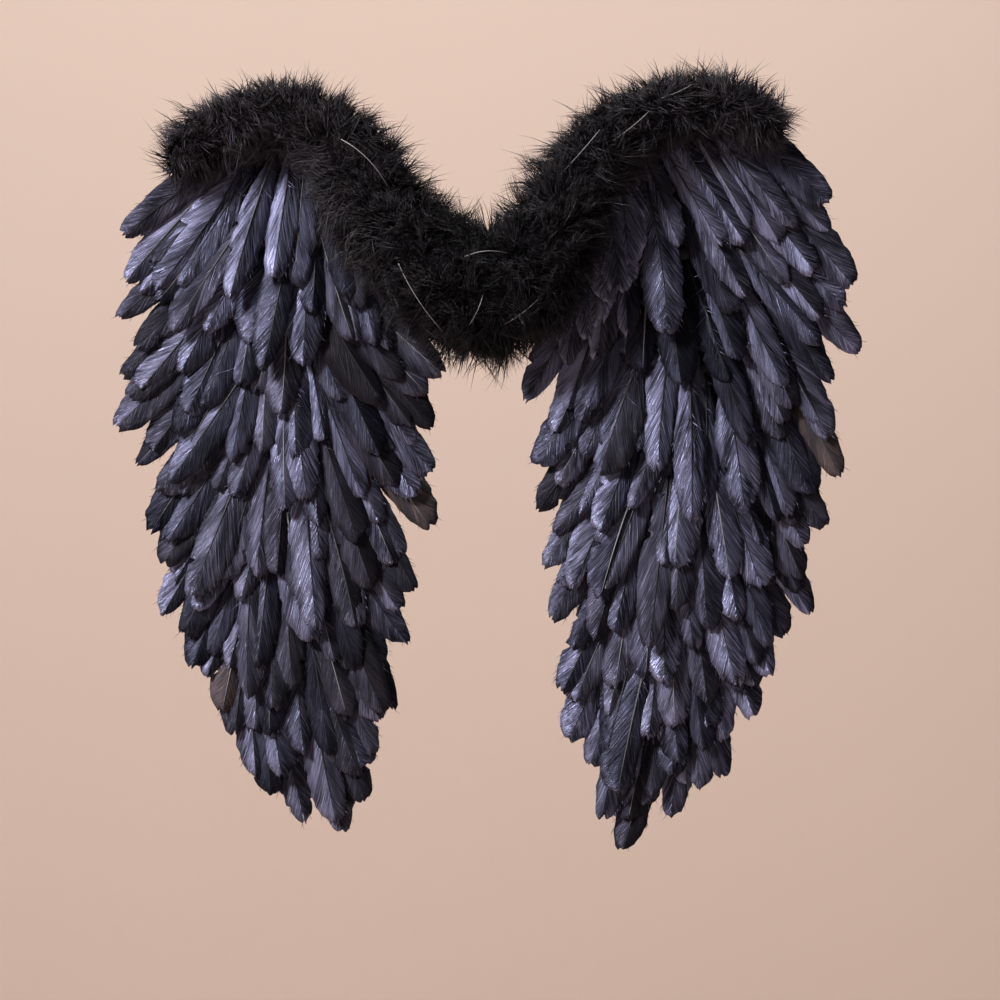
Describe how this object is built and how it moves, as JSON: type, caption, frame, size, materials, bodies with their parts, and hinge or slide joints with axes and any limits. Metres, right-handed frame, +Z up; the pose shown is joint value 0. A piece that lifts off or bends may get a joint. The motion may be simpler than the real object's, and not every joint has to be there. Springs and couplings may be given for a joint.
{
  "type": "costume angel wings",
  "caption": "Pair of upright costume wings: rows of overlapping feathers on stiff backs, a fluffy marabou trim along the top, and elastic loops for the shoulders.",
  "frame": {"origin": "on the back face of the centre pad, midway between the wings, where they rest between the wearer's shoulder blades", "axes": "+Z up towards the top of the wings, +X to the viewer's right, +Y towards the wearer, so that the feathered side faces -Y"},
  "size_m": [0.4507, 0.0868, 0.4667],
  "materials": {
    "feather": "satin black feather vane with a blue-violet sheen",
    "fluff": "matt black marabou down",
    "felt": "matt black felt",
    "elastic": "ribbed black woven elastic"
  },
  "bodies": {
    "root": {"centre_pad": "felt", "left_backing": "felt", "left_feathers_01": "feather", "left_feathers_02": "feather", "left_feathers_03": "feather", "left_feathers_04": "feather", "left_feathers_05": "feather", "left_feathers_06": "feather", "left_feathers_07": "feather", "left_feathers_08": "feather", "left_feathers_09": "feather", "left_feathers_10": "feather", "left_feathers_11": "feather", "left_feathers_12": "feather", "left_marabou": "fluff", "left_shoulder_loop": "elastic", "right_backing": "felt", "right_feathers_01": "feather", "right_feathers_02": "feather", "right_feathers_03": "feather", "right_feathers_04": "feather", "right_feathers_05": "feather", "right_feathers_06": "feather", "right_feathers_07": "feather", "right_feathers_08": "feather", "right_feathers_09": "feather", "right_feathers_10": "feather", "right_feathers_11": "feather", "right_feathers_12": "feather", "right_marabou": "fluff", "right_shoulder_loop": "elastic", "centre_marabou": "fluff"}
  },
  "joints": []
}
